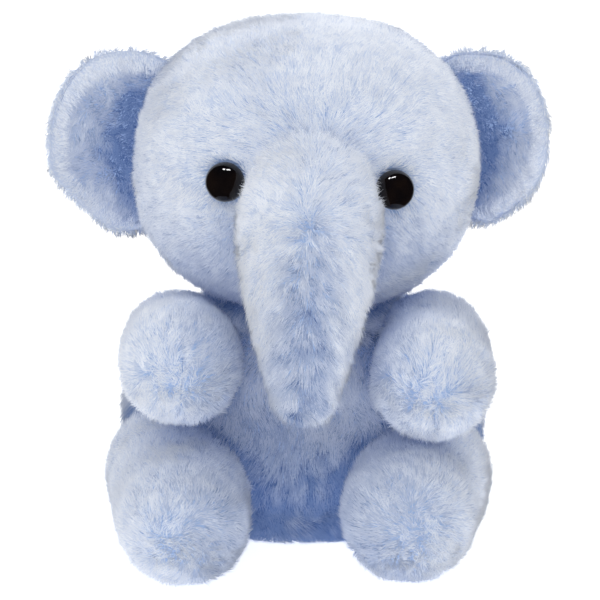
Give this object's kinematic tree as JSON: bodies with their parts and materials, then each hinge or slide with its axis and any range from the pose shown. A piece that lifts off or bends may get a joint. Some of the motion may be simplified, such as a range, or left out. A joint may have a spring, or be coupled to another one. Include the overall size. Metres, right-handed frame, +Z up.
{
  "type": "stuffed elephant",
  "caption": "Small sitting plush elephant with a drooping trunk, round ears and glossy eyes; its soft sewn head, limbs, ears and tail swing and spring back.",
  "frame": {"origin": "middle of the flat base it sits on, on the surface it stands on", "axes": "+Z up, the face and feet towards -Y, the toy's own left side towards +X"},
  "size_m": [0.153, 0.1429, 0.1574],
  "materials": {
    "plush": "matte",
    "plush_shade": "matte",
    "eye": "gloss",
    "washer": "satin",
    "fibrefill": "matte",
    "pellet_cloth": "matte"
  },
  "bodies": {
    "torso": {"belly_panel": "plush", "back_panel_left": "plush", "back_panel_right": "plush", "base_panel": "plush", "torso_stuffing": "fibrefill", "pellet_bag": "pellet_cloth"},
    "head": {"chin_panel": "plush", "crown_gusset": "plush", "face_panel_left": "plush", "face_panel_right": "plush", "head_back_panel_left": "plush", "head_back_panel_right": "plush", "head_stuffing": "fibrefill", "eye_left": "eye", "eye_right": "eye", "eye_washer_left": "washer", "eye_washer_right": "washer"},
    "trunk": {"trunk_front_panel": "plush", "trunk_under_panel": "plush", "trunk_tip_patch": "plush", "trunk_stuffing": "fibrefill"},
    "ear_left": {"ear_front_panel_left": "plush_shade", "ear_back_panel_left": "plush"},
    "ear_right": {"ear_front_panel_right": "plush_shade", "ear_back_panel_right": "plush"},
    "arm_left": {"arm_outer_panel_left": "plush", "arm_inner_panel_left": "plush", "arm_stuffing_left": "fibrefill"},
    "arm_right": {"arm_outer_panel_right": "plush", "arm_inner_panel_right": "plush", "arm_stuffing_right": "fibrefill"},
    "leg_left": {"leg_outer_panel_left": "plush", "leg_inner_panel_left": "plush", "foot_sole_left": "plush", "leg_stuffing_left": "fibrefill"},
    "leg_right": {"leg_outer_panel_right": "plush", "leg_inner_panel_right": "plush", "foot_sole_right": "plush", "leg_stuffing_right": "fibrefill"},
    "tail": {"tail": "plush"}
  },
  "joints": [
    {"name": "head_nod", "type": "hinge", "parent": "torso", "child": "head", "pos_m": [0, 0, 0.059], "axis": [1, 0, 0], "range_deg": [-10, 10], "stiffness_Nm_per_rad": 0.15},
    {"name": "trunk_lift", "type": "hinge", "parent": "head", "child": "trunk", "pos_m": [0.0022, -0.046, 0.122], "axis": [-1, 0, 0], "range_deg": [-3, 25], "stiffness_Nm_per_rad": 0.06},
    {"name": "ear_left_flap", "type": "hinge", "parent": "head", "child": "ear_left", "pos_m": [0.051, 0.003, 0.1215], "axis": [0, 0, -1], "range_deg": [-15, 25], "stiffness_Nm_per_rad": 0.02},
    {"name": "ear_right_flap", "type": "hinge", "parent": "head", "child": "ear_right", "pos_m": [-0.049, 0.003, 0.119], "axis": [0, 0, 1], "range_deg": [-15, 25], "stiffness_Nm_per_rad": 0.02},
    {"name": "arm_left_swing", "type": "hinge", "parent": "torso", "child": "arm_left", "pos_m": [0.0395, -0.02, 0.06], "axis": [0, 0, 1], "range_deg": [-5, 35], "stiffness_Nm_per_rad": 0.05},
    {"name": "arm_right_swing", "type": "hinge", "parent": "torso", "child": "arm_right", "pos_m": [-0.038, -0.02, 0.06], "axis": [0, 0, -1], "range_deg": [-5, 35], "stiffness_Nm_per_rad": 0.05},
    {"name": "leg_left_swing", "type": "hinge", "parent": "torso", "child": "leg_left", "pos_m": [0.0355, -0.023, 0.0205], "axis": [0, 0, 1], "range_deg": [-8, 25], "stiffness_Nm_per_rad": 0.08},
    {"name": "leg_right_swing", "type": "hinge", "parent": "torso", "child": "leg_right", "pos_m": [-0.038, -0.023, 0.0205], "axis": [0, 0, -1], "range_deg": [-8, 25], "stiffness_Nm_per_rad": 0.08},
    {"name": "tail_lift", "type": "hinge", "parent": "torso", "child": "tail", "pos_m": [0, 0.0488, 0.028], "axis": [1, 0, 0], "range_deg": [0, 60], "stiffness_Nm_per_rad": 0.004}
  ]
}
